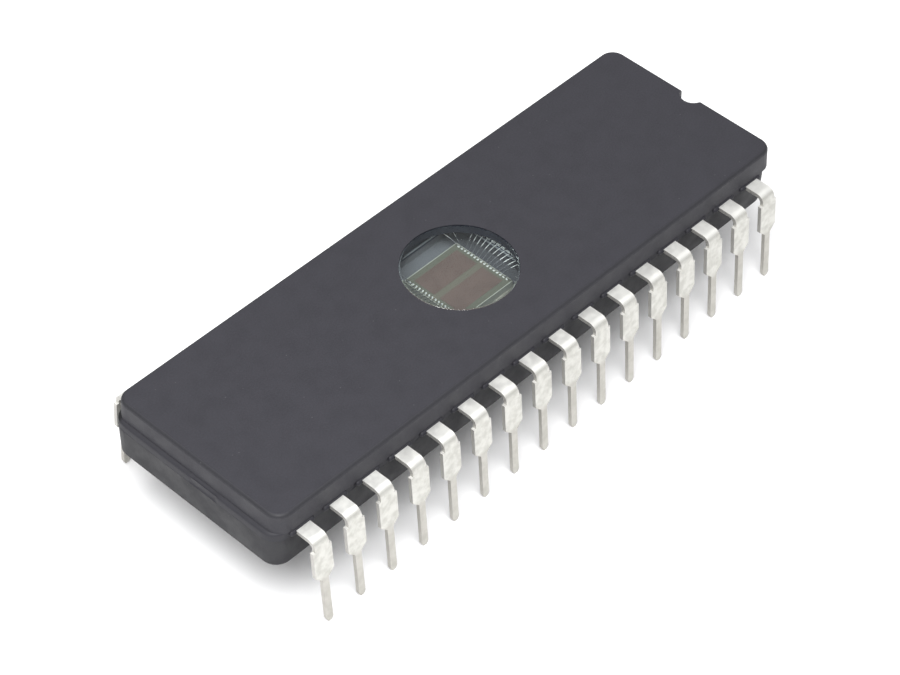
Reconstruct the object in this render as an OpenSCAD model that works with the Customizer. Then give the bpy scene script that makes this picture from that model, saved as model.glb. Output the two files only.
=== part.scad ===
// Windowed ceramic dual in-line memory chip, 32 leads, 15.24 mm between rows.
// Frame: X along the body with the index notch at +X, Z up, lead tips at Z = 0,
// origin under the middle of the body.

/* [Ceramic body] */
// Length of the base at the seal
body_length = 42.1; // [41.2:0.02:45]
// Width of the base at the seal
body_width = 13.32; // [12.8:0.02:14]
// Radius of the base's four corners seen from above
corner_radius = 1.1; // [0.8:0.05:2]
// Radius of the cap's four corners seen from above
cap_corner_radius = 1; // [0.6:0.05:2]
// Thickness of the base
base_thickness = 2.16; // [1.7:0.02:2.8]
// Thickness of the cap
cap_thickness = 1.47; // [1.2:0.02:2.2]
// How far the cap stands back from the base all round
cap_inset = 0.02; // [0.02:0.02:0.2]
// How far the cap sits out of line with the base, towards the notch end
offset_x = 0.24; // [-0.4:0.01:0.4]
// How far the cap sits out of line with the base, towards +Y
offset_y = -0.08; // [-0.2:0.01:0.2]
// Draft of the pressed sides, from the seal out to each outer face
side_draft = 0.06; // [0.04:0.02:0.2]
// Rounding of the outer edges of cap and base
edge_round = 0.22; // [0.1:0.02:0.4]
// Radius of the index notch in the +X end
notch_radius = 0.8; // [0.5:0.05:1.1]
// Clear height from the lead tips to the underside of the base
underside_height = 4.36; // [4:0.02:5]

/* [Glass seal] */
// Thickness of the glass between base and cap
seal_thickness = 0.46; // [0.4:0.02:0.7]
// How far the glass stands back from the edge of the base
seal_inset = 0.06; // [0.06:0.02:0.3]
// Radius of the glass bead around each lead
bead_radius = 0.19; // [0.12:0.01:0.19]
// How far the bead reaches past the edge of the base
bead_reach = 0.19; // [0.05:0.01:0.3]
// How far the bead runs past each side of the lead
bead_side = 0.22; // [0.1:0.02:0.4]

/* [Window] */
// Diameter of the window
window_diameter = 7.11; // [6:0.01:8]
// Window centre along the body, from the middle of the cap
window_x = -0.04; // [-0.5:0.01:0.5]
// Window centre across the body, from the middle of the cap
window_y = -0.12; // [-0.5:0.01:0.5]
// How far the lens face lies below the cap's top face
lens_sink = 0.03; // [0.01:0.01:0.1]
// Rounding of the lens rim
lens_rim = 0.12; // [0.05:0.01:0.2]

/* [Cavity] */
// Length of the die cavity in the base
cavity_length = 7.6; // [7.2:0.05:8]
// Width of the die cavity in the base
cavity_width = 7; // [6.6:0.05:7.3]
// Depth of the die cavity in the base
cavity_depth = 0.52; // [0.3:0.02:0.8]
// Corner radius of the cavity
cavity_corner = 0.5; // [0.2:0.05:0.9]
// How far the cap's recess reaches past the cavity, along the body
recess_over_x = 1.1; // [0.8:0.05:1.5]
// How far the cap's recess reaches past the cavity, across the body
recess_over_y = 0.6; // [0.45:0.05:1]
// Depth of the recess in the underside of the cap
recess_depth = 0.32; // [0.28:0.02:0.5]

/* [Silicon die] */
// Length of the die along the body
die_length = 4.5; // [3.5:0.05:5]
// Width of the die across the body
die_width = 4.55; // [4.2:0.05:5]
// Thickness of the die
die_thickness = 0.5; // [0.3:0.01:0.55]
// Die centre along the body, from the middle of the base
die_x = 0.35; // [-0.4:0.05:0.4]
// Die centre across the body, from the middle of the base
die_y = 0; // [-0.3:0.05:0.3]
// Thickness of the layer that holds the die down
attach_thickness = 0.05; // [0.02:0.01:0.1]
// How far that layer spreads past the die
attach_margin = 0.14; // [0.05:0.01:0.3]
// Size of a square bond pad
pad_size = 0.12; // [0.08:0.01:0.16]
// Distance between bond pads
pad_pitch = 0.26; // [0.2:0.01:0.27]
// Distance from the end of the die to the pad row
pad_margin = 0.16; // [0.12:0.01:0.25]
// Height of pads and memory arrays above the die face
relief = 0.01; // [0.005:0.005:0.03]
// Width of the plain street between the two memory arrays
street_width = 0.42; // [0.2:0.02:0.8]
// Distance from the edge of the die to the arrays
array_margin = 0.42; // [0.36:0.02:0.8]

/* [Bond wires] */
// Diameter of a bond wire
wire_diameter = 0.04; // [0.025:0.005:0.06]
// Height of the wire's arc over the line between its two feet
wire_arch = 0.2; // [0.1:0.01:0.24]
// Length of the flattened foot of a wire
foot_length = 0.16; // [0.1:0.01:0.2]
// Thickness of the flattened foot of a wire
foot_thickness = 0.03; // [0.02:0.005:0.05]

/* [Leads] */
// Thickness of the lead metal
lead_thickness = 0.25; // [0.2:0.01:0.3]
// Width of a lead where it leaves the glass
stub_width = 1.05; // [0.8:0.05:1.3]
// Width of the lead's shoulder
shoulder_width = 1.4; // [1.3:0.05:1.7]
// Width of the thin pin under the shoulder
pin_width = 0.48; // [0.4:0.01:0.6]
// Length of the thin pin, up to the shoulder's taper
pin_length = 3.6; // [3:0.05:3.8]
// Angle of the taper under the shoulder, from level
taper_angle = 45; // [30:1:60]
// How far below the bend the shoulder starts
shoulder_drop = 0.2; // [0.05:0.05:0.5]
// Inside radius of the bend
bend_radius = 0.3; // [0.2:0.02:0.4]
// How far a lead on the -Y side stands out from the base, at the bend
stub_reach = 1.56; // [1.1:0.01:2]
// How far a lead on the +Y side stands out from the base, at the bend
back_stub_reach = 1.1; // [1:0.01:2]
// Outward lean of the legs on the -Y side, in degrees
leg_lean = 2.63; // [0:0.01:6]
// Distance from the end of the base to the middle of the first lead
end_margin = 2; // [1.5:0.01:3]
// How far the tips sit off the middle of their stubs, towards the notch end
tip_drift = 0.22; // [-0.4:0.01:0.4]
// Height of the tapered tip of the pin
tip_taper = 0.26; // [0.1:0.02:0.5]
// Width of the flat end of the pin
tip_width = 0.24; // [0.1:0.02:0.4]

/* [Lead frame inside the glass] */
// Distance between finger tips at the ends of the cavity
finger_pitch = 0.4; // [0.36:0.01:0.46]
// Width of a finger at its tip
finger_tip = 0.24; // [0.16:0.01:0.28]
// Width of a finger where it fans out
finger_width = 0.52; // [0.3:0.02:0.7]
// How far the finger tips stay back from the cavity
finger_setback = 0.15; // [0.1:0.01:0.3]
// Distance from the edge of the base at which the fingers start to turn
fan_depth = 1.45; // [1:0.05:1.8]
// How far a lead keeps its full width inside the glass
root_run = 0.5; // [0.3:0.05:0.8]
// Straight run of the first end finger before its tip
end_run = 0.4; // [0.2:0.05:0.6]
// Least extra run of each next end finger
fan_step = 0.7; // [0.5:0.05:1]
// Distance between the two finger tips on each side of a corner
side_pitch = 1; // [0.6:0.05:1.4]
// Distance from the cavity's corner to the first tip at its side
side_start = 0.6; // [0.5:0.05:1.2]
// Straight run of those fingers before the tip
side_run = 0.35; // [0.2:0.05:0.5]

/* [Hidden] */
$fn = 64;
per_side = 16;
lead_pitch = (body_length - 2 * end_margin) / (per_side - 1);
base_x = -offset_x / 2;
// How far a cutter runs past the face it opens
past = 1;
// Narrow land left where a rounding runs out into a face
edge_land = 0.01;
per_half = per_side / 2;
end_fingers = per_half - 2;
base_top = underside_height + base_thickness;
cap_bottom = base_top + seal_thickness;
cap_top = cap_bottom + cap_thickness;
lead_bottom = base_top + (seal_thickness - lead_thickness) / 2;
lead_top = lead_bottom + lead_thickness;
cavity_floor = base_top - cavity_depth;
die_bottom = cavity_floor + attach_thickness;
die_top = die_bottom + die_thickness;
recess_top = cap_bottom + recess_depth;
recess_length = cavity_length + 2 * recess_over_x;
recess_width = cavity_width + 2 * recess_over_y;
bend_z = lead_bottom - bend_radius;
bend_out = bend_radius + lead_thickness;
// The +Y legs lean as far as it takes for both rows of tips to be equally far from the middle
spread = (lead_top - lead_thickness * sin(leg_lean)) * tan(leg_lean) + stub_reach - back_stub_reach;
back_lean = on_hundredth(atan(spread / (lead_top - lead_thickness * sin(atan(spread / lead_top)))));
taper_height = (shoulder_width - pin_width) / 2 * tan(taper_angle);
finger_end = cavity_length / 2 + finger_setback;
side_end = cavity_width / 2 + finger_setback;
bead_y = body_width / 2 + bead_reach - bead_radius;
root_y = body_width / 2 - root_run;
fan_reach = body_width / 2 - fan_depth;
bond_x = finger_end + (recess_length / 2 - finger_end) * 0.4;
bond_side = side_end + (recess_width / 2 - side_end) * 0.5;

// Rounds a length to a tenth of a micron, so that the parts of a plate share their edges
function on_grid(v) = round(v * 10000) / 10000;
// Rounds an angle to a hundredth of a degree, so that bend and leg meet in one plane
function on_hundredth(v) = round(v * 100) / 100;

// Position of lead n: 1 to 16 run from the notch end along +Y, 17 to 32 come back along -Y
function lead_step(n) = n <= per_side ? (per_side + 1) / 2 - n : n - per_side - (per_side + 1) / 2;
function lead_x(n) = on_grid(lead_step(n) * lead_pitch);
function lead_side(n) = n <= per_side ? 1 : -1;
function lead_end(n) = lead_x(n) > 0 ? 1 : -1;
// Lean, place of the bend's centre and length of the leg, for a side of the body
function side_lean(side) = side > 0 ? back_lean : leg_lean;
function bend_y(side) = on_grid(body_width / 2 + (side > 0 ? back_stub_reach : stub_reach)
    - bend_out * (1 - sin(side_lean(side))) / cos(side_lean(side)));
function leg_length(lean) = (bend_z + bend_radius * sin(lean)) / cos(lean);
// Place of lead n counted outward from the middle of the body, from 0
function lead_rank(n) = abs(lead_step(n)) - 0.5;

// Half profile of a pressed ceramic plate: draft on the side, rounded outer edge
module edge_profile(reach, height) {
    lean = atan(side_draft / height);
    rise = height - edge_round;
    inset = on_grid(side_draft * rise / height + edge_round / cos(lean));
    centre = reach - inset;
    polygon([[0, 0], [reach, 0],
        [centre + on_grid(edge_round * cos(lean)), rise + on_grid(edge_round * sin(lean))],
        [centre, height], [0, height]]);
    translate([centre - edge_land, rise - edge_land]) circle(r = edge_round);
}

// Pressed ceramic plate, widest at Z = 0, with rounded corners and outer edges
module plate(length, width, height, radius) {
    straight = length - 2 * radius;
    across = width - 2 * radius;
    translate([-straight / 2, 0, 0]) rotate([90, 0, 90]) linear_extrude(straight) {
        edge_profile(width / 2, height);
        mirror([1, 0]) edge_profile(width / 2, height);
    }
    for (turn = [0, 180]) rotate([0, 0, turn]) {
        translate([straight / 2, across / 2, 0]) rotate([90, 0, 0])
            linear_extrude(across) edge_profile(radius, height);
        translate([straight / 2, across / 2, 0])
            rotate_extrude(angle = 90) edge_profile(radius, height);
        translate([-straight / 2, across / 2, 0]) rotate([0, 0, 90])
            rotate_extrude(angle = 90) edge_profile(radius, height);
    }
}

// Flat plan with rounded corners
module rounded_plan(length, width, radius) {
    square([length - 2 * radius, width], center = true);
    square([length, width - 2 * radius], center = true);
    for (sx = [-1, 1], sy = [-1, 1])
        translate([sx * (length / 2 - radius), sy * (width / 2 - radius)]) circle(r = radius);
}

// Base, leads, glass and die share one middle, and the cap and its lens another
module on_base() {
    translate([base_x, 0, 0]) children();
}
module on_cap() {
    translate([base_x + offset_x, offset_y, 0]) children();
}

module notch_cut(z0, z1) {
    translate([body_length / 2, 0, z0]) cylinder(r = notch_radius, h = z1 - z0);
}

module ceramic_base() {
    color([0.20, 0.20, 0.24]) on_base() difference() {
        translate([0, 0, base_top]) rotate([180, 0, 0])
            plate(body_length, body_width, base_thickness, corner_radius);
        translate([0, 0, cavity_floor]) linear_extrude(cavity_depth + past)
            rounded_plan(cavity_length, cavity_width, cavity_corner);
        notch_cut(underside_height - past, base_top + past);
    }
}

module ceramic_cap() {
    color([0.30, 0.30, 0.34]) on_cap() difference() {
        translate([0, 0, cap_bottom])
            plate(body_length - 2 * cap_inset, body_width - 2 * cap_inset,
                cap_thickness, cap_corner_radius);
        translate([0, 0, cap_bottom - past]) linear_extrude(recess_depth + past)
            rounded_plan(recess_length, recess_width, cavity_corner + recess_over_y);
        translate([window_x, window_y, cap_bottom])
            cylinder(d = window_diameter, h = cap_thickness + past);
        notch_cut(cap_bottom - past, cap_top + past);
    }
}

module window_lens() {
    height = cap_top - lens_sink - recess_top;
    color([0.62, 0.68, 0.70]) on_cap() translate([window_x, window_y, recess_top])
        rotate_extrude() {
            square([window_diameter / 2, height - lens_rim]);
            square([window_diameter / 2 - lens_rim, height]);
            intersection() {
                translate([window_diameter / 2 - lens_rim, height - lens_rim])
                    circle(r = lens_rim);
                square([window_diameter, height]);
            }
        }
}

// Centre line of the flat part of a lead, from its bend to its finger tip, for a lead
// on the +X, +Y quarter, and the half width at each point
function flat_line(rank, bend_y) = let (
        x = on_grid((rank + 0.5) * lead_pitch),
        tip_y = finger_pitch * (per_half - rank - 0.5),
        tip_x = cavity_length / 2 - side_start - (1 - rank) * side_pitch,
        turn = min(fan_reach, tip_y + x - finger_end - end_run - (rank - 2) * fan_step)
    )
    rank < 2
    ? [[x, bend_y], [x, root_y], [x, side_end + side_run + abs(x - tip_x)],
       [tip_x, side_end + side_run], [tip_x, side_end]]
    : [[x, bend_y], [x, root_y], [x, turn], [x - turn + tip_y, tip_y], [finger_end, tip_y]];
function flat_half() = [stub_width / 2, stub_width / 2, finger_width / 2,
    (finger_width + finger_tip) / 4, finger_tip / 2];

// Outline of a strip that follows a line, with mitred turns
function normal(a, b) = [a[1] - b[1], b[0] - a[0]] / norm(b - a);
function turn_normal(line, i) =
    i == 0 ? normal(line[0], line[1])
    : i == len(line) - 1 ? normal(line[i - 1], line[i])
    : let (n1 = normal(line[i - 1], line[i]), n2 = normal(line[i], line[i + 1]))
        (n1 + n2) / (1 + n1 * n2);
function strip(line, half) = concat(
    [for (i = [0 : len(line) - 1]) line[i] + turn_normal(line, i) * half[i]],
    [for (i = [len(line) - 1 : -1 : 0]) line[i] - turn_normal(line, i) * half[i]]);

// Flat part of lead n, in the plane of the seal
module lead_flat(n) {
    sx = lead_end(n);
    sy = lead_side(n);
    outline = strip(flat_line(lead_rank(n), bend_y(sy)), flat_half());
    translate([0, 0, lead_bottom]) linear_extrude(lead_thickness)
        polygon([for (q = outline) [sx * q[0], sy * q[1]]]);
}

// Bend and leg of a lead at x = 0, bent down on the +Y side, with its bend at out
module lead_leg(lean, out) {
    tip = leg_length(lean);
    neck = tip - pin_length / cos(lean);
    taper = tip - (pin_length + taper_height) / cos(lean);
    point = tip - tip_taper / cos(lean);
    half = [[stub_width, 0], [stub_width, shoulder_drop], [shoulder_width, shoulder_drop],
        [shoulder_width, taper], [pin_width, neck], [pin_width, point], [tip_width, tip]];
    function edge(side, p) = [side * p[0] / 2 + tip_drift * p[1] / tip, -p[1]];
    translate([0, out, bend_z]) {
        rotate([0, 90, 0]) rotate([0, 0, 90 + lean]) rotate_extrude(angle = 90 - lean)
            translate([bend_radius, -stub_width / 2]) square([lead_thickness, stub_width]);
        rotate([lean, 0, 0]) translate([0, bend_out, 0]) rotate([90, 0, 0])
            linear_extrude(lead_thickness) polygon(concat(
                [for (p = half) edge(1, p)],
                [for (i = [len(half) - 1 : -1 : 0]) edge(-1, half[i])]));
    }
}

module lead(n) {
    color([0.86, 0.86, 0.84]) on_base() {
        lead_flat(n);
        translate([lead_x(n), 0, 0]) mirror([0, lead_side(n) < 0 ? 1 : 0, 0])
            lead_leg(side_lean(lead_side(n)), bend_y(lead_side(n)));
    }
}

// Sealing glass: a lower ring that carries the fingers, an upper ring that leaves the
// finger tips bare for the wires, and a bead around each lead where it comes out
module seal_glass() {
    plan_radius = corner_radius - seal_inset;
    color([0.13, 0.14, 0.17]) on_base() difference() {
        union() {
            translate([0, 0, base_top]) linear_extrude(seal_thickness) difference() {
                rounded_plan(body_length - 2 * seal_inset, body_width - 2 * seal_inset,
                    plan_radius);
                translate([body_length / 2, 0]) circle(r = notch_radius + seal_inset);
            }
            for (n = [1 : 2 * per_side]) translate([lead_x(n),
                    lead_side(n) * bead_y, base_top + seal_thickness / 2]) {
                rotate([0, 90, 0]) cylinder(r = bead_radius,
                    h = stub_width + 2 * bead_side, center = true);
                for (s = [-1, 1]) translate([s * (stub_width / 2 + bead_side), 0, 0])
                    sphere(r = bead_radius);
            }
        }
        translate([0, 0, base_top - past]) linear_extrude(seal_thickness + 2 * past)
            rounded_plan(cavity_length, cavity_width, cavity_corner);
        translate([offset_x, offset_y, base_top + seal_thickness / 2])
            linear_extrude(seal_thickness)
                rounded_plan(recess_length, recess_width, cavity_corner + recess_over_y);
        for (n = [1 : 2 * per_side]) lead_flat(n);
    }
}

module silicon_die() {
    array_width = (die_width - 2 * array_margin - street_width) / 2;
    array_length = die_length - 2 * array_margin;
    color([0.52, 0.45, 0.44]) on_base() translate([die_x, die_y, die_bottom]) {
        translate([-die_length / 2, -die_width / 2, 0])
            cube([die_length, die_width, die_thickness]);
        for (s = [-1, 1]) translate([-array_length / 2,
                s * (street_width + array_width) / 2 - array_width / 2, die_thickness])
            cube([array_length, array_width, relief]);
        for (s = [-1, 1], i = [0 : per_side - 1])
            translate([s * (die_length / 2 - pad_margin),
                (i - (per_side - 1) / 2) * pad_pitch, die_thickness + relief / 2])
                cube([pad_size, pad_size, relief], center = true);
    }
}

module die_attach() {
    color([0.45, 0.43, 0.38]) on_base() translate([die_x, die_y, cavity_floor])
        linear_extrude(attach_thickness)
            rounded_plan(die_length + 2 * attach_margin, die_width + 2 * attach_margin,
                attach_margin);
}

// Place of the wire's outer foot on the finger of a lead on the +Y side of an end
function finger_foot(rank) = rank < 2
    ? [cavity_length / 2 - side_start - (1 - rank) * side_pitch, bond_side]
    : [bond_x, finger_pitch * (per_half - rank - 0.5)];
// Pads run outward from the middle of the row; the last rank has the inmost pad
function pad_foot(rank) = (per_half - rank - 0.5) * pad_pitch;

// One wire: an arc between two flattened feet
module bond_wire(a, b) {
    flat = norm([b[0] - a[0], b[1] - a[1]]);
    chord = norm(b - a);
    radius = (chord * chord / 4 + wire_arch * wire_arch) / (2 * wire_arch);
    half = asin(chord / 2 / radius);
    heading = atan2(b[1] - a[1], b[0] - a[0]);
    climb = atan2(b[2] - a[2], flat);
    for (p = [a, b]) translate([p[0], p[1], p[2]]) rotate([0, 0, heading])
        translate([-foot_length / 2, -wire_diameter, 0])
            cube([foot_length, 2 * wire_diameter, foot_thickness]);
    translate((a + b) / 2 + [0, 0, foot_thickness / 2 + wire_diameter / 4])
        rotate([0, 0, heading]) rotate([0, -climb, 0])
            translate([0, 0, wire_arch - radius]) rotate([90, 0, 0])
                rotate([0, 0, 90 - half]) rotate_extrude(angle = 2 * half)
                    translate([radius, 0]) circle(d = wire_diameter, $fn = 16);
}

// The sixteen wires at one end of the die, end = 1 for the notch end
module bond_wires(end) {
    pad_x = die_x + end * (die_length / 2 - pad_margin);
    color([0.88, 0.88, 0.88]) on_base() for (side = [-1, 1], rank = [0 : per_half - 1]) {
        foot = finger_foot(rank);
        bond_wire([pad_x, die_y + side * pad_foot(rank), die_top + relief],
            [end * foot[0], side * foot[1], lead_top]);
    }
}

module bond_wires_front() { bond_wires(1); }
module bond_wires_back() { bond_wires(-1); }

ceramic_base();
ceramic_cap();
window_lens();
seal_glass();
silicon_die();
die_attach();
bond_wires_front();
bond_wires_back();
lead(1);  // lead_01
lead(2);  // lead_02
lead(3);  // lead_03
lead(4);  // lead_04
lead(5);  // lead_05
lead(6);  // lead_06
lead(7);  // lead_07
lead(8);  // lead_08
lead(9);  // lead_09
lead(10);  // lead_10
lead(11);  // lead_11
lead(12);  // lead_12
lead(13);  // lead_13
lead(14);  // lead_14
lead(15);  // lead_15
lead(16);  // lead_16
lead(17);  // lead_17
lead(18);  // lead_18
lead(19);  // lead_19
lead(20);  // lead_20
lead(21);  // lead_21
lead(22);  // lead_22
lead(23);  // lead_23
lead(24);  // lead_24
lead(25);  // lead_25
lead(26);  // lead_26
lead(27);  // lead_27
lead(28);  // lead_28
lead(29);  // lead_29
lead(30);  // lead_30
lead(31);  // lead_31
lead(32);  // lead_32
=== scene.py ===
import math
import bpy
from mathutils import Matrix, Vector, noise


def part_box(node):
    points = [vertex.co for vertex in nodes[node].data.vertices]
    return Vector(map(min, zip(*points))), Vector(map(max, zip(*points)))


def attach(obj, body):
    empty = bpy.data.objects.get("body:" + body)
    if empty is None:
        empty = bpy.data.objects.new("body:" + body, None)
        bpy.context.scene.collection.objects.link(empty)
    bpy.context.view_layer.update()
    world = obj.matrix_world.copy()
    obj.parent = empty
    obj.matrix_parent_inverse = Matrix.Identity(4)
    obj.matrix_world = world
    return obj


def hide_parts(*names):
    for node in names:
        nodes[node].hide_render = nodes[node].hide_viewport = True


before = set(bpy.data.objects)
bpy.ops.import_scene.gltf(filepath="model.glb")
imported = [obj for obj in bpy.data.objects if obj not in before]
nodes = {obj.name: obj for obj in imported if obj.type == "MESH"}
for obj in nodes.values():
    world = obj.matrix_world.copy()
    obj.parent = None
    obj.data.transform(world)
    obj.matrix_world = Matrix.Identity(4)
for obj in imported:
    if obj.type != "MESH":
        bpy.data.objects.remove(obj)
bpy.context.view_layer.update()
MM = 0.001

# Sizes repeated from the solids, in millimetres
BODY_LENGTH = 42.1
BODY_WIDTH = 13.32
BASE_CORNER = 1.1
CAP_CORNER = 1.0
CAP_INSET = 0.02
BASE_X = -0.12
CAP_X = 0.12
CAP_Y = -0.08
BASE_TOP = 6.52
SEAL = 0.46
NOTCH_RADIUS = 0.8
WINDOW_X = 0.08
WINDOW_Y = -0.2
WINDOW_RADIUS = 3.555
LENS_RIM = 0.12
DIE_X = 0.23
DIE_LENGTH = 4.5
DIE_WIDTH = 4.55

# Meshes: how far pieces run past each other, in millimetres, and counts of steps
LENS_OVERLAP = 0.02
LENS_STEPS = 160
RIM_STEPS = 6
BASE_GAP = 0.005
CAP_OVERLAP = 0.01
SINK = 0.01
CORNER_STEPS = 12
END_STEPS = 80
SIDE_STEPS = 240

# Section of the squeezed glass: share of its dip, share of the way to the cap's edge, and height
SQUEEZE = [(0.0, 0.0, 0.0), (0.7, 0.01, 0.05), (1.0, 0.02, 0.14), (1.0, 0.04, 0.24), (1.0, 0.07, 0.36),
           (0.8, 0.12, 0.44), (0.5, 0.28, 0.50), (0.2, 0.65, 0.54), (0.0, 1.0, 0.58)]


# Colour from its red, green and blue
def rgb(red, green, blue):
    return (red, green, blue, 1.0)


# Grey that the sealing glass and the squeezed glass share
JOINT_GREY = rgb(0.0200, 0.0197, 0.0250)

# Noise scale of the finest grain, per metre
GRAIN = 9000.0


# Value or link given to a socket
def set_input(tree, socket, value):
    if isinstance(value, bpy.types.NodeSocket):
        tree.links.new(value, socket)
    elif value is not None:
        socket.default_value = value


def make(tree, kind, inputs=None, **settings):
    n = tree.nodes.new(kind)
    for key, value in settings.items():
        setattr(n, key, value)
    for key, value in (inputs or {}).items():
        set_input(tree, n.inputs[key], value)
    return n


def calc(tree, operation, a, b=None):
    n = make(tree, "ShaderNodeMath", operation=operation)
    set_input(tree, n.inputs[0], a)
    set_input(tree, n.inputs[1], b)
    return n.outputs[0]


# Product of two or more masks
def product(tree, first, *others):
    for other in others:
        first = calc(tree, "MULTIPLY", first, other)
    return first


def noise_at(tree, where, scale, detail=3.0, roughness=0.55):
    n = make(tree, "ShaderNodeTexNoise", {"Vector": where, "Scale": scale, "Detail": detail,
                                          "Roughness": roughness})
    return n.outputs["Fac"]


# Smooth step of a value between two limits
def fit(tree, value, low, high, to_low=0.0, to_high=1.0):
    n = make(tree, "ShaderNodeMapRange", {"Value": value, "From Min": low, "From Max": high,
                                          "To Min": to_low, "To Max": to_high},
             interpolation_type="SMOOTHSTEP")
    return n.outputs["Result"]


# Mask by place: 0 at the first place and 1 at the second, in millimetres
def zone(tree, value, start, full):
    return fit(tree, value, start * MM, full * MM)


def blend_colour(tree, factor, a, b, mode="MIX"):
    n = make(tree, "ShaderNodeMix", data_type="RGBA", blend_type=mode)
    set_input(tree, n.inputs["Factor"], factor)
    set_input(tree, n.inputs["A"], a)
    set_input(tree, n.inputs["B"], b)
    return n.outputs["Result"]


# Smooth step of a plain number
def fade(value, low, high):
    t = min(1.0, max(0.0, (value - low) / (high - low)))
    return t * t * (3 - 2 * t)


def vector_maths(tree, operation, a, b=None):
    inputs = {0: a} if b is None else {0: a, 1: b}
    return make(tree, "ShaderNodeVectorMath", inputs, operation=operation).outputs


def split(tree, vector):
    return make(tree, "ShaderNodeSeparateXYZ", {0: vector}).outputs


def material(name):
    m = bpy.data.materials.new(name)
    m.use_nodes = True
    tree = m.node_tree
    shader = tree.nodes["Principled BSDF"]
    where = make(tree, "ShaderNodeTexCoord").outputs["Object"]
    return m, tree, shader, where


def bump(tree, shader, height, strength, distance):
    n = make(tree, "ShaderNodeBump", {"Height": height, "Strength": strength, "Distance": distance})
    tree.links.new(n.outputs["Normal"], shader.inputs["Normal"])


# Parts of the true normal
def facing(tree):
    return split(tree, make(tree, "ShaderNodeNewGeometry").outputs["True Normal"])


# Mask of the die cavity and the recess over it, paler than the outside
def cavity_mask(tree, place):
    return product(tree, zone(tree, calc(tree, "ABSOLUTE", place[0]), 5.2, 5.0),
                   zone(tree, calc(tree, "ABSOLUTE", place[1]), 4.4, 4.2),
                   zone(tree, place[2], 6.6, 6.5), zone(tree, place[2], 4.5, 5.0))


# Mask of the wall of the window's bore
def bore_mask(tree, where, place):
    from_axis = vector_maths(tree, "SUBTRACT", where, (WINDOW_X * MM, WINDOW_Y * MM, 0.0))["Vector"]
    level = vector_maths(tree, "MULTIPLY", from_axis, (1.0, 1.0, 0.0))["Vector"]
    reach = vector_maths(tree, "LENGTH", level)["Value"]
    return product(tree, zone(tree, reach, 3.62, 3.58), zone(tree, place[2], 8.42, 8.38),
                   zone(tree, place[2], 6.9, 7.0))


# Small pale specks that few of the cells have
def speck_mask(tree, where, open_air):
    speck = make(tree, "ShaderNodeTexVoronoi", {"Vector": where, "Scale": 2600.0}, feature="F1")
    dot = fit(tree, speck.outputs["Distance"], 0.12, 0.04)
    lot = make(tree, "ShaderNodeSeparateColor", {0: speck.outputs["Color"]}).outputs[0]
    pick = product(tree, fit(tree, lot, 0.90, 0.94), calc(tree, "MULTIPLY", open_air, 0.5))
    return product(tree, dot, pick)


# Black ceramic, with painted shade on the sides and the rounded edges, apart from the top
def ceramic(name, top, side_shade, edge_shade):
    m, tree, shader, where = material(name)
    steep = 0.12
    sloped = 0.55
    grain = noise_at(tree, where, GRAIN, 2.0)
    cloud = noise_at(tree, where, 700.0, 4.0)
    drift = noise_at(tree, where, 110.0, 2.0)
    up = calc(tree, "ABSOLUTE", facing(tree)[2])
    # Painted shade: faces that stand up and the rounded edges take the side and edge colours, picked by
    # which way each face points
    edge_shade_mask = product(tree, fit(tree, up, steep, sloped), fit(tree, up, 0.995, 0.9))
    colour = blend_colour(tree, fit(tree, up, sloped, steep), top, side_shade)
    colour = blend_colour(tree, edge_shade_mask, colour, edge_shade)
    tone = calc(tree, "ADD", fit(tree, cloud, 0.3, 0.7, 0.95, 1.05),
                fit(tree, drift, 0.3, 0.7, -0.02, 0.02))
    tone = calc(tree, "ADD", tone, fit(tree, grain, 0.25, 0.75, -0.10, 0.10))
    tint = make(tree, "ShaderNodeCombineColor", {0: tone, 1: tone, 2: tone}).outputs[0]
    colour = blend_colour(tree, 1.0, colour, tint, "MULTIPLY")
    place = split(tree, where)
    cavity = cavity_mask(tree, place)
    cavity_tone = blend_colour(tree, zone(tree, place[0], 2.2, 2.8), rgb(0.128, 0.130, 0.144),
                               rgb(0.060, 0.060, 0.070))
    colour = blend_colour(tree, cavity, colour, cavity_tone)
    bore = bore_mask(tree, where, place)
    colour = blend_colour(tree, bore, colour, rgb(0.012, 0.015, 0.024))
    open_air = calc(tree, "SUBTRACT", 1.0, calc(tree, "MAXIMUM", bore, cavity))
    colour = blend_colour(tree, speck_mask(tree, where, open_air), colour, rgb(0.09, 0.09, 0.095))
    tree.links.new(colour, shader.inputs["Base Color"])
    tree.links.new(fit(tree, cloud, 0.3, 0.7, 0.52, 0.68), shader.inputs["Roughness"])
    tree.links.new(fit(tree, open_air, 0.0, 1.0, 0.12, 0.42), shader.inputs["Specular IOR Level"])
    height = calc(tree, "ADD", calc(tree, "MULTIPLY", grain, 0.6), calc(tree, "MULTIPLY", cloud, 0.8))
    bump(tree, shader, product(tree, height, open_air), 0.35, 0.00003)
    return m
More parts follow.
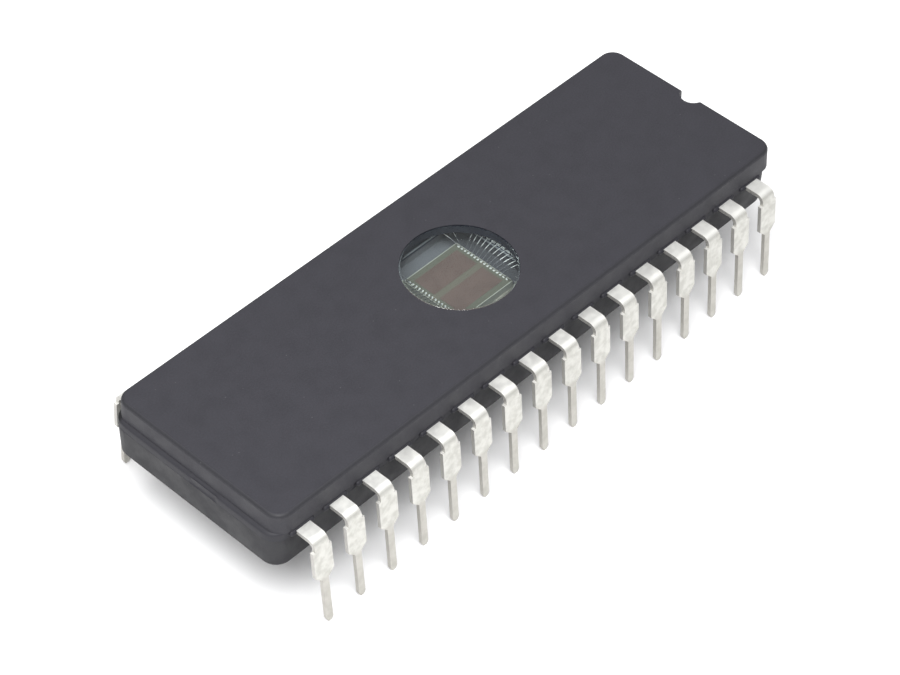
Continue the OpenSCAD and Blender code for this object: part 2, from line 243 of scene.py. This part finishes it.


# Sealing glass: navy round the cavity with a painted highlight on its inner lip, and grey out at the joint
def seal_material():
    m, tree, shader, where = material("sealing_glass")
    cloud = noise_at(tree, where, 1500.0, 4.0)
    colour = blend_colour(tree, fit(tree, cloud, 0.35, 0.7), rgb(0.016, 0.021, 0.034),
                          rgb(0.030, 0.034, 0.048))
    place = split(tree, where)
    x_here = calc(tree, "ABSOLUTE", calc(tree, "SUBTRACT", place[0], BASE_X * MM))
    y_here = calc(tree, "ABSOLUTE", place[1])
    outer = calc(tree, "MAXIMUM", zone(tree, x_here, 6.0, 6.5), zone(tree, y_here, 4.6, 5.0))
    colour = blend_colour(tree, outer, colour, JOINT_GREY)
    # Painted highlight: a pale line along the inner lip of the ledge round the cavity
    lip_highlight = product(tree, zone(tree, x_here, 3.88, 3.84), zone(tree, y_here, 3.6, 3.5),
                  zone(tree, place[2], 6.64, 6.68))
    colour = blend_colour(tree, calc(tree, "MULTIPLY", lip_highlight, 0.8), colour, rgb(0.34, 0.35, 0.37))
    tree.links.new(colour, shader.inputs["Base Color"])
    tree.links.new(fit(tree, cloud, 0.3, 0.7, 0.5, 0.62), shader.inputs["Roughness"])
    shader.inputs["Specular IOR Level"].default_value = 0.3
    bump(tree, shader, noise_at(tree, where, 3000.0, 2.0), 0.1, 0.00002)
    return m


# Glass squeezed out of the joint, dark in patches, with painted shade at the corner away from the notch on
# the far row
def squeezed_material():
    m, tree, shader, where = material("squeezed_glass")
    cloud = noise_at(tree, where, 900.0, 3.0)
    colour = blend_colour(tree, fit(tree, cloud, 0.54, 0.70), JOINT_GREY, rgb(0.0150, 0.0148, 0.0190))
    # Painted shade: near black round the far-row corner away from the notch, standing in for a shaded
    # recess
    shaded_recess_centre = (BASE_X - BODY_LENGTH / 2, BODY_WIDTH / 2, BASE_TOP + SEAL)
    reach_from_shaded_recess = vector_maths(tree, "DISTANCE", where, tuple(c * MM for c in shaded_recess_centre))["Value"]
    colour = blend_colour(tree, zone(tree, reach_from_shaded_recess, 0.9, 0.6), colour, rgb(0.003, 0.003, 0.004))
    tree.links.new(colour, shader.inputs["Base Color"])
    shader.inputs["Roughness"].default_value = 0.6
    shader.inputs["Specular IOR Level"].default_value = 0.35
    bump(tree, shader, noise_at(tree, where, 2500.0, 3.0), 0.4, 0.00004)
    return m


# Tin plate of the leads: painted highlight on the faces that look up, greyer on the sheared edges and the
# thin pins
def lead_material():
    m, tree, shader, where = material("tin_plate")
    axes = facing(tree)
    place = split(tree, where)
    mottle = noise_at(tree, where, 1700.0, 4.0, 0.6)
    fine = noise_at(tree, where, GRAIN, 3.0)
    drawn = vector_maths(tree, "MULTIPLY", where, (1.0, 1.0, 0.12))["Vector"]
    streak = noise_at(tree, drawn, GRAIN, 2.0)
    colour = blend_colour(tree, fit(tree, mottle, 0.36, 0.66), rgb(0.59, 0.585, 0.55),
                          rgb(0.50, 0.495, 0.46))
    colour = blend_colour(tree, fit(tree, fine, 0.58, 0.8, 0.0, 0.35), colour, rgb(0.45, 0.44, 0.42))
    sheared = fit(tree, calc(tree, "ABSOLUTE", axes[0]), 0.7, 0.95)
    colour = blend_colour(tree, calc(tree, "MULTIPLY", sheared, 0.75), colour, rgb(0.42, 0.41, 0.39))
    pin = zone(tree, place[2], 4.2, 3.4)
    colour = blend_colour(tree, calc(tree, "MULTIPLY", pin, 0.7), colour, rgb(0.42, 0.405, 0.37))
    # Painted highlight: faces that look up are lightened towards near white
    top_highlight = fit(tree, axes[2], 0.6, 0.95)
    colour = blend_colour(tree, calc(tree, "MULTIPLY", top_highlight, 0.72), colour, rgb(0.93, 0.93, 0.90))
    finger_tip = zone(tree, calc(tree, "ABSOLUTE", place[1]), 5.2, 4.8)
    colour = blend_colour(tree, finger_tip, colour, rgb(0.97, 0.97, 0.96))
    tree.links.new(colour, shader.inputs["Base Color"])
    tree.links.new(fit(tree, finger_tip, 0.0, 1.0, 0.78, 0.15), shader.inputs["Metallic"])
    tree.links.new(fit(tree, mottle, 0.3, 0.7, 0.42, 0.60), shader.inputs["Roughness"])
    relief = calc(tree, "ADD", calc(tree, "MULTIPLY", fine, 0.5), calc(tree, "MULTIPLY", streak, 0.5))
    bump(tree, shader, relief, 0.35, 0.00002)
    return m


# Clear glass that lets light through to the die
def lens_material():
    m, tree, shader, where = material("window_glass")
    glass = make(tree, "ShaderNodeBsdfGlass", {"Color": rgb(0.93, 0.96, 0.96), "Roughness": 0.0,
                                               "IOR": 1.46})
    clear = make(tree, "ShaderNodeBsdfTransparent", {"Color": rgb(0.9, 0.93, 0.93)})
    path = make(tree, "ShaderNodeLightPath").outputs
    passing = calc(tree, "MAXIMUM", path["Is Shadow Ray"], path["Is Diffuse Ray"])
    both = make(tree, "ShaderNodeMixShader", {0: passing, 1: glass.outputs[0], 2: clear.outputs[0]})
    tree.links.new(both.outputs[0], tree.nodes["Material Output"].inputs["Surface"])
    tree.nodes.remove(shader)
    return m


# Die: two arrays with a street between them, a border, a row of pads at each end and a bright rim
def die_material():
    m, tree, shader, where = material("patterned_silicon")
    half_x = DIE_LENGTH / 2
    half_y = DIE_WIDTH / 2
    pad_pitch = 0.26
    place = split(tree, where)
    x_here = calc(tree, "ABSOLUTE", calc(tree, "SUBTRACT", place[0], DIE_X * MM))
    y_here = calc(tree, "ABSOLUTE", place[1])
    cells = product(tree, zone(tree, x_here, half_x - 0.40, half_x - 0.46),
                    product(tree, zone(tree, y_here, half_y - 0.40, half_y - 0.46),
                            zone(tree, y_here, 0.19, 0.23)))
    cloud = noise_at(tree, where, 900.0, 2.0)
    array = blend_colour(tree, fit(tree, cloud, 0.35, 0.65), rgb(0.113, 0.076, 0.067),
                         rgb(0.130, 0.088, 0.078))
    border_and_street = blend_colour(tree, zone(tree, y_here, 0.22, 0.19), rgb(0.112, 0.112, 0.088),
                                     rgb(0.131, 0.119, 0.094))
    colour = blend_colour(tree, cells, border_and_street, array)
    step = calc(tree, "PINGPONG", calc(tree, "ADD", place[1], pad_pitch / 2 * MM), pad_pitch / 2 * MM)
    pads = product(tree, zone(tree, x_here, half_x - 0.23, half_x - 0.22),
                   zone(tree, x_here, half_x - 0.09, half_x - 0.10), zone(tree, step, 0.07, 0.06),
                   zone(tree, y_here, 2.1, 2.09))
    colour = blend_colour(tree, pads, colour, rgb(0.62, 0.61, 0.57))
    rim = calc(tree, "MAXIMUM", zone(tree, x_here, half_x - 0.06, half_x - 0.03),
               zone(tree, y_here, half_y - 0.06, half_y - 0.03))
    colour = blend_colour(tree, calc(tree, "MULTIPLY", rim, 0.9), colour, rgb(0.42, 0.42, 0.37))
    tree.links.new(colour, shader.inputs["Base Color"])
    shader.inputs["Specular IOR Level"].default_value = 0.05
    shader.inputs["Roughness"].default_value = 0.4
    return m


# Bond wire: painted highlight on the crest of its arc and on its foot, and painted shade between
def wire_material():
    m, tree, shader, where = material("bond_wire_metal")
    height_here = split(tree, where)[2]
    cloud = noise_at(tree, where, 3500.0, 2.0)
    uneven = calc(tree, "ADD", height_here, calc(tree, "MULTIPLY", cloud, 0.12 * MM))
    # Painted highlight on the crest of the arc and on the foot; the rest of the wire is painted dark as
    # shade
    crest_highlight = zone(tree, uneven, 6.93, 7.01)
    foot_highlight = calc(tree, "MULTIPLY", zone(tree, height_here, 6.61, 6.59), 0.8)
    wire_highlight = calc(tree, "MAXIMUM", crest_highlight, foot_highlight)
    tree.links.new(blend_colour(tree, wire_highlight, rgb(0.07, 0.07, 0.08), rgb(0.98, 0.98, 0.97)),
                   shader.inputs["Base Color"])
    shader.inputs["Metallic"].default_value = 0.5
    shader.inputs["Roughness"].default_value = 0.30
    return m


def attach_material():
    m, tree, shader, where = material("die_attach_layer")
    cloud = noise_at(tree, where, 2500.0, 4.0)
    tree.links.new(blend_colour(tree, fit(tree, cloud, 0.3, 0.7), rgb(0.20, 0.19, 0.16),
                                rgb(0.32, 0.30, 0.26)), shader.inputs["Base Color"])
    shader.inputs["Roughness"].default_value = 0.6
    bump(tree, shader, cloud, 0.5, 0.00004)
    return m


# Finish given to a node of the solids
def dress(name, mat):
    mesh = nodes[name].data
    mesh.materials.clear()
    mesh.materials.append(mat)


cap_material = ceramic("cap_ceramic", rgb(0.0225, 0.0220, 0.0285), rgb(0.0225, 0.0220, 0.028),
                       rgb(0.014, 0.014, 0.018))
base_material = ceramic("base_ceramic", rgb(0.020, 0.020, 0.025), rgb(0.0078, 0.0078, 0.0108),
                        rgb(0.010, 0.010, 0.013))
seal = seal_material()
tin = lead_material()
wire = wire_material()
dress("ceramic_cap", cap_material)
dress("ceramic_base", base_material)
dress("seal_glass", seal)
dress("silicon_die", die_material())
dress("die_attach", attach_material())
dress("bond_wires_front", wire)
dress("bond_wires_back", wire)
for name in nodes:
    if name.startswith("lead_"):
        dress(name, tin)


# Mesh of points in millimetres that rides on the object
def mesh_piece(name, verts, faces, mat):
    mesh = bpy.data.meshes.new(name)
    mesh.from_pydata([tuple(c * MM for c in v) for v in verts], [], faces)
    mesh.validate()
    mesh.update()
    mesh.materials.append(mat)
    for p in mesh.polygons:
        p.use_smooth = True
    o = bpy.data.objects.new(name, mesh)
    bpy.context.scene.collection.objects.link(o)
    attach(o, "root")
    return o


# Window lens: the glass is fused to its bore, so its wall runs a little into the cap and leaves no gap
def lens_disc():
    low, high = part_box("window_lens")
    floor_level = low[2] / MM
    top = high[2] / MM
    wall = WINDOW_RADIUS + LENS_OVERLAP
    section = [(WINDOW_RADIUS, floor_level), (wall, floor_level), (wall, top - LENS_RIM - LENS_OVERLAP)]
    for k in range(RIM_STEPS + 1):
        a = math.radians(90.0 * k / RIM_STEPS)
        section.append((WINDOW_RADIUS - LENS_RIM + LENS_RIM * math.cos(a),
                        top - LENS_RIM + LENS_RIM * math.sin(a)))
    section.append((WINDOW_RADIUS - LENS_RIM - LENS_OVERLAP, top))
    verts = []
    for k in range(LENS_STEPS):
        a = 2.0 * math.pi * k / LENS_STEPS
        for r, z in section:
            verts.append((WINDOW_X + r * math.cos(a), WINDOW_Y + r * math.sin(a), z))
    steps = len(section)
    faces = []
    for k in range(LENS_STEPS):
        n = (k + 1) % LENS_STEPS
        for j in range(steps - 1):
            faces.append((k * steps + j, n * steps + j, n * steps + j + 1, k * steps + j + 1))
    faces.append([k * steps + steps - 1 for k in range(LENS_STEPS)])
    faces.append([k * steps for k in reversed(range(LENS_STEPS))])
    o = mesh_piece("window_glass", verts, faces, lens_material())
    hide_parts("window_lens")
    return o


# Line round a plate with rounded corners, as points and outward normals
def outline(centre_x, centre_y, length, width, radius, inset):
    half_x = length / 2 - radius
    half_y = width / 2 - radius
    corners = [(half_x, -half_y, -90), (half_x, half_y, 0), (-half_x, half_y, 90), (-half_x, -half_y, 180)]
    points = []
    for i, (x, y, start) in enumerate(corners):
        for k in range(CORNER_STEPS + 1):
            a = math.radians(start + 90 * k / CORNER_STEPS)
            points.append((centre_x + x + (radius - inset) * math.cos(a),
                           centre_y + y + (radius - inset) * math.sin(a), math.cos(a), math.sin(a)))
        x0, y0, nx, ny = points[-1]
        following = corners[(i + 1) % 4]
        x1 = centre_x + following[0] + (radius - inset) * nx
        y1 = centre_y + following[1] + (radius - inset) * ny
        count = END_STEPS if i % 2 == 0 else SIDE_STEPS
        for k in range(1, count):
            t = k / count
            points.append((x0 + (x1 - x0) * t, y0 + (y1 - y0) * t, nx, ny))
    return points


# Glass squeezed out of the joint: an uneven fillet from the edge of the base to the edge of the cap
def squeezed_glass():
    profile = len(SQUEEZE)
    verts = []
    faces = []
    low = outline(BASE_X, 0.0, BODY_LENGTH, BODY_WIDTH, BASE_CORNER, BASE_GAP)
    high = outline(CAP_X, CAP_Y, BODY_LENGTH - 2 * CAP_INSET, BODY_WIDTH - 2 * CAP_INSET, CAP_CORNER,
                   CAP_INSET + CAP_OVERLAP)
    notch_x = BASE_X + BODY_LENGTH / 2
    for (x, y, nx, ny), (cx, cy, _, _) in zip(low, high):
        swell = noise.noise(Vector((x * 0.45, y * 0.45, 3.0)))
        ripple = noise.noise(Vector((x * 1.9, y * 1.9, 8.0)))
        dip = 0.05 * fade(swell, 0.12, 0.30) + 0.008 * ripple
        if math.hypot(x - notch_x, y) < NOTCH_RADIUS + 0.30:
            dip = 0.6
        for t, share, rise in SQUEEZE:
            back_off = dip * t
            verts.append((x + (cx - x) * share - nx * back_off, y + (cy - y) * share - ny * back_off,
                          BASE_TOP - SINK + rise))
    n = len(low)
    for i in range(n):
        j = (i + 1) % n
        for k in range(profile - 1):
            faces.append((i * profile + k, j * profile + k, j * profile + k + 1, i * profile + k + 1))
    return mesh_piece("seal_squeeze", verts, faces, squeezed_material())


lens_disc()
squeezed_glass()

# Floor of white paper
FLOOR_HALF = 0.8
floor_mesh = bpy.data.meshes.new("floor")
floor_mesh.from_pydata([(-FLOOR_HALF, -FLOOR_HALF, 0.0), (FLOOR_HALF, -FLOOR_HALF, 0.0),
                        (FLOOR_HALF, FLOOR_HALF, 0.0), (-FLOOR_HALF, FLOOR_HALF, 0.0)], [], [(0, 1, 2, 3)])
floor = bpy.data.objects.new("floor", floor_mesh)
bpy.context.scene.collection.objects.link(floor)
paper, _, paper_shader, _ = material("white_paper")
paper_shader.inputs["Base Color"].default_value = rgb(0.90, 0.90, 0.905)
paper_shader.inputs["Roughness"].default_value = 0.9
floor_mesh.materials.append(paper)

# Even light from all round
world = bpy.data.worlds.new("studio")
bpy.context.scene.world = world
world.use_nodes = True
sky = world.node_tree.nodes["Background"]
sky.inputs["Color"].default_value = rgb(1.0, 1.0, 1.0)
sky.inputs["Strength"].default_value = 0.66


# Square lamp that looks at the object's middle
def soft_light(name, place, size, power):
    data = bpy.data.lights.new(name, "AREA")
    data.shape = "SQUARE"
    data.size = size
    data.energy = power
    o = bpy.data.objects.new(name, data)
    bpy.context.scene.collection.objects.link(o)
    o.location = place
    o.rotation_mode = "QUATERNION"
    o.rotation_quaternion = (-Vector(place)).to_track_quat("-Z", "Y")
    return o


soft_light("key_softbox", (-0.068, -0.045, 0.178), 0.14, 0.58)

# Camera fitted to the photograph, in degrees and metres
azimuth = math.radians(-47.12)
elevation = math.radians(46.00)
roll = math.radians(1.02)
distance = 0.1786
aim = Vector((0.000118, 0.00048, 0.002))
back = Vector((math.sin(azimuth) * math.cos(elevation), -math.cos(azimuth) * math.cos(elevation),
               math.sin(elevation)))
right = Vector((math.cos(azimuth), math.sin(azimuth), 0.0))
above = back.cross(right)
turned_right = math.cos(roll) * right + math.sin(roll) * above
turned_up = -math.sin(roll) * right + math.cos(roll) * above
camera_data = bpy.data.cameras.new("camera")
camera_data.sensor_width = 36.0
camera_data.lens = 119.24
camera_data.clip_start = 0.01
camera_data.clip_end = 10.0
camera = bpy.data.objects.new("camera", camera_data)
bpy.context.scene.collection.objects.link(camera)
turn = Matrix((turned_right, turned_up, back)).transposed().to_4x4()
camera.matrix_world = Matrix.Translation(back * distance + aim) @ turn
bpy.context.scene.camera = camera
bpy.context.scene.view_settings.view_transform = "Standard"
